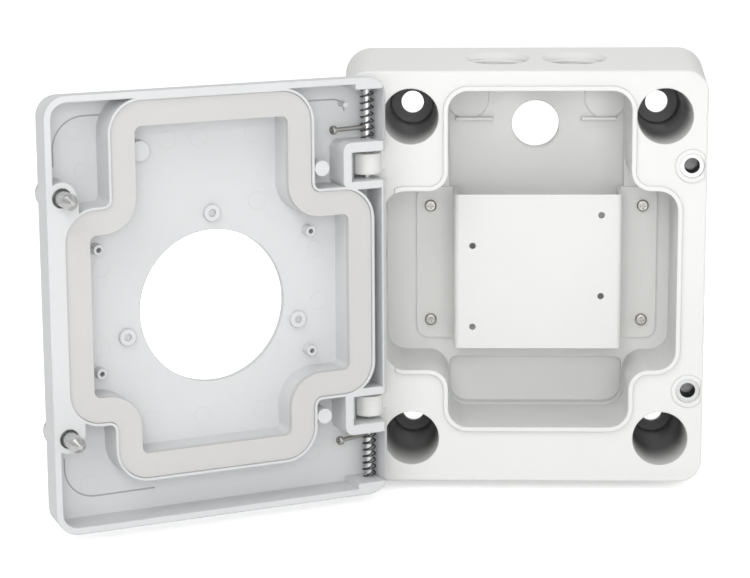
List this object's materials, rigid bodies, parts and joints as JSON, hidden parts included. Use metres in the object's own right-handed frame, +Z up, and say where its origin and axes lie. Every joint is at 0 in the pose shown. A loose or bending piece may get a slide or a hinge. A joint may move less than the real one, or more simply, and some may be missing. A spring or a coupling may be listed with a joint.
{
  "type": "camera junction box",
  "caption": "Wall junction box for a security camera, with cross-shaped cavity, hinged lid held open, sprung hinge pins, captive screws and threaded conduit entries.",
  "frame": {"origin": "centre of the four wall bolts on the back face", "axes": "+X to the right across the front, +Y into the wall, +Z up"},
  "size_m": [0.2935, 0.1552, 0.1992],
  "materials": {
    "coated_casting": "satin",
    "coated_lid": "satin",
    "coated_sheet": "satin",
    "foam": "matte",
    "plated_steel": "satin",
    "stainless": "polished",
    "seal_rubber": "matte",
    "spring_steel": "satin",
    "bright_pin": "polished"
  },
  "bodies": {
    "housing": {"housing": "coated_casting", "bracket_plate": "coated_sheet", "bracket_screw_1": "plated_steel", "bracket_screw_2": "plated_steel", "bracket_screw_3": "plated_steel", "bracket_screw_4": "plated_steel", "insert_upper": "plated_steel", "insert_lower": "plated_steel"},
    "lid": {"lid": "coated_lid", "lid_gasket": "foam", "hinge_spring_upper": "spring_steel", "hinge_spring_lower": "spring_steel"},
    "pin_upper": {"hinge_pin_upper": "bright_pin", "pull_screw_upper": "plated_steel"},
    "screw_carrier_upper": {"screw_seal_upper": "seal_rubber", "retaining_clip_upper": "spring_steel"},
    "lid_screw_upper": {"captive_screw_upper": "stainless"},
    "pin_lower": {"hinge_pin_lower": "bright_pin", "pull_screw_lower": "plated_steel"},
    "screw_carrier_lower": {"screw_seal_lower": "seal_rubber", "retaining_clip_lower": "spring_steel"},
    "lid_screw_lower": {"captive_screw_lower": "stainless"}
  },
  "joints": [
    {"name": "lid_hinge", "type": "hinge", "parent": "housing", "child": "lid", "pos_m": [-0.07625, -0.0658, 0], "axis": [0, 0, 1], "range_deg": [-27.3, 152.7]},
    {"name": "pin_slide_upper", "type": "slide", "parent": "lid", "child": "pin_upper", "axis": [0, 0, 1], "range_m": [0, 0.0132], "stiffness_N_per_m": 300, "springref_m": -0.01, "deforming": ["hinge_spring_upper"]},
    {"name": "screw_slide_upper", "type": "slide", "parent": "lid", "child": "screw_carrier_upper", "axis": [-0.4587, 0.8886, 0], "range_m": [0, 0.01]},
    {"name": "screw_spin_upper", "type": "hinge", "parent": "screw_carrier_upper", "child": "lid_screw_upper", "pos_m": [-0.20568, -0.1326, 0.052], "axis": [-0.4587, 0.8886, 0], "continuous": true},
    {"name": "pin_slide_lower", "type": "slide", "parent": "lid", "child": "pin_lower", "axis": [0, 0, -1], "range_m": [0, 0.0132], "stiffness_N_per_m": 300, "springref_m": -0.01, "deforming": ["hinge_spring_lower"]},
    {"name": "screw_slide_lower", "type": "slide", "parent": "lid", "child": "screw_carrier_lower", "axis": [-0.4587, 0.8886, 0], "range_m": [0, 0.01]},
    {"name": "screw_spin_lower", "type": "hinge", "parent": "screw_carrier_lower", "child": "lid_screw_lower", "pos_m": [-0.20568, -0.1326, -0.052], "axis": [-0.4587, 0.8886, 0], "continuous": true}
  ]
}
